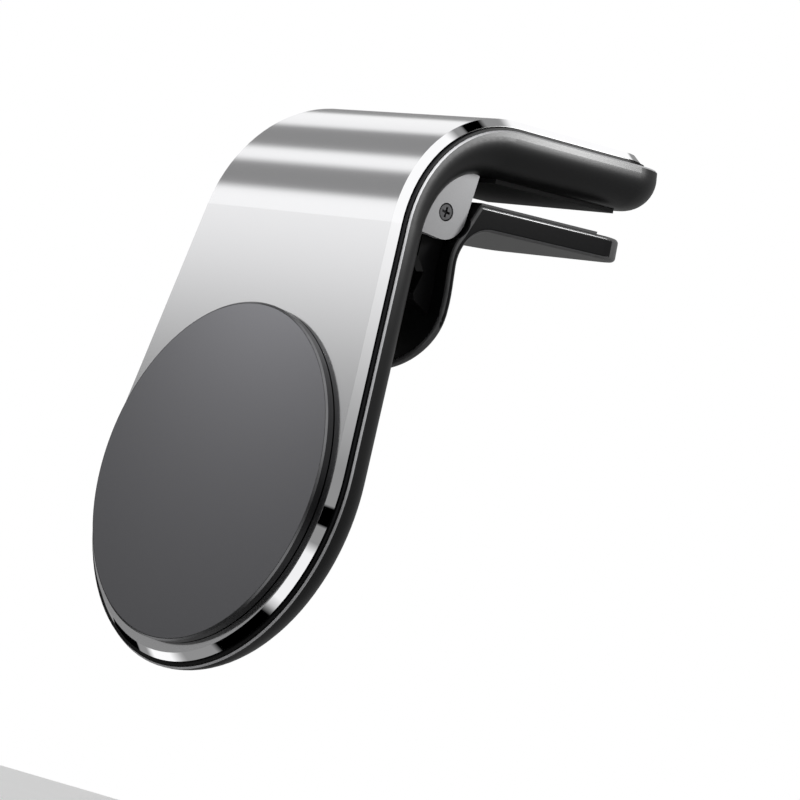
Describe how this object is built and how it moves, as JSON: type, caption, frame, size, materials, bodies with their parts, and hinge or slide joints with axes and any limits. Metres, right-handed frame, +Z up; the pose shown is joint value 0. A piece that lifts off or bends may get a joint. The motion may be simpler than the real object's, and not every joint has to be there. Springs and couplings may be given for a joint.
{
  "type": "car phone mount",
  "caption": "Magnetic vent phone mount: bent metal-faced arm with a round magnet pad and a sprung clamp for an air vent louvre.",
  "frame": {"origin": "centre of the magnet pad's front face", "axes": "-Y faces the phone, +Y faces the vent, +Z up along the plate, X across"},
  "size_m": [0.0412, 0.0382, 0.0682],
  "materials": {
    "soft_skin": "matt",
    "black_metal": "anodised with a bright cut edge",
    "film": "adhesive film",
    "satin_metal": "satin with a polished bevel",
    "gloss_black": "gloss",
    "satin_black": "satin moulded",
    "zinc_steel": "zinc plated",
    "dark_screw": "dark plated",
    "grey_metal": "flat grey",
    "white_nylon": "natural nylon",
    "spring_steel": "bright wire",
    "jaw_rubber": "matt",
    "magnet_nickel": "nickel plated"
  },
  "bodies": {
    "mount_body": {"magnet_pad_skin": "soft_skin", "magnet_pad_plate": "black_metal", "magnet_pad_tape": "film", "face_plate": "satin_metal", "plate_tape": "film", "inner_frame": "gloss_black", "rear_housing": "satin_black", "magnet_tray": "satin_black", "keeper_plate": "zinc_steel", "frame_screws": "dark_screw", "hinge_bracket": "grey_metal", "bracket_screws": "dark_screw", "hinge_pin": "dark_screw", "spring_sleeve": "white_nylon", "torsion_spring": "spring_steel", "washer_near": "white_nylon", "washer_far": "white_nylon", "upper_jaw_pad": "jaw_rubber", "magnet_1": "magnet_nickel", "magnet_2": "magnet_nickel", "magnet_3": "magnet_nickel", "magnet_4": "magnet_nickel", "magnet_5": "magnet_nickel", "magnet_6": "magnet_nickel"},
    "clamp": {"clamp_lever": "satin_black", "lower_jaw_pad": "jaw_rubber"}
  },
  "joints": [
    {"name": "clamp_hinge", "type": "hinge", "parent": "mount_body", "child": "clamp", "pos_m": [0, 0.0104, 0.0327], "axis": [1, 0, 0], "range_deg": [-15, 0], "stiffness_Nm_per_rad": 0.12, "springref_deg": 20.05, "deforming": ["torsion_spring"]}
  ]
}
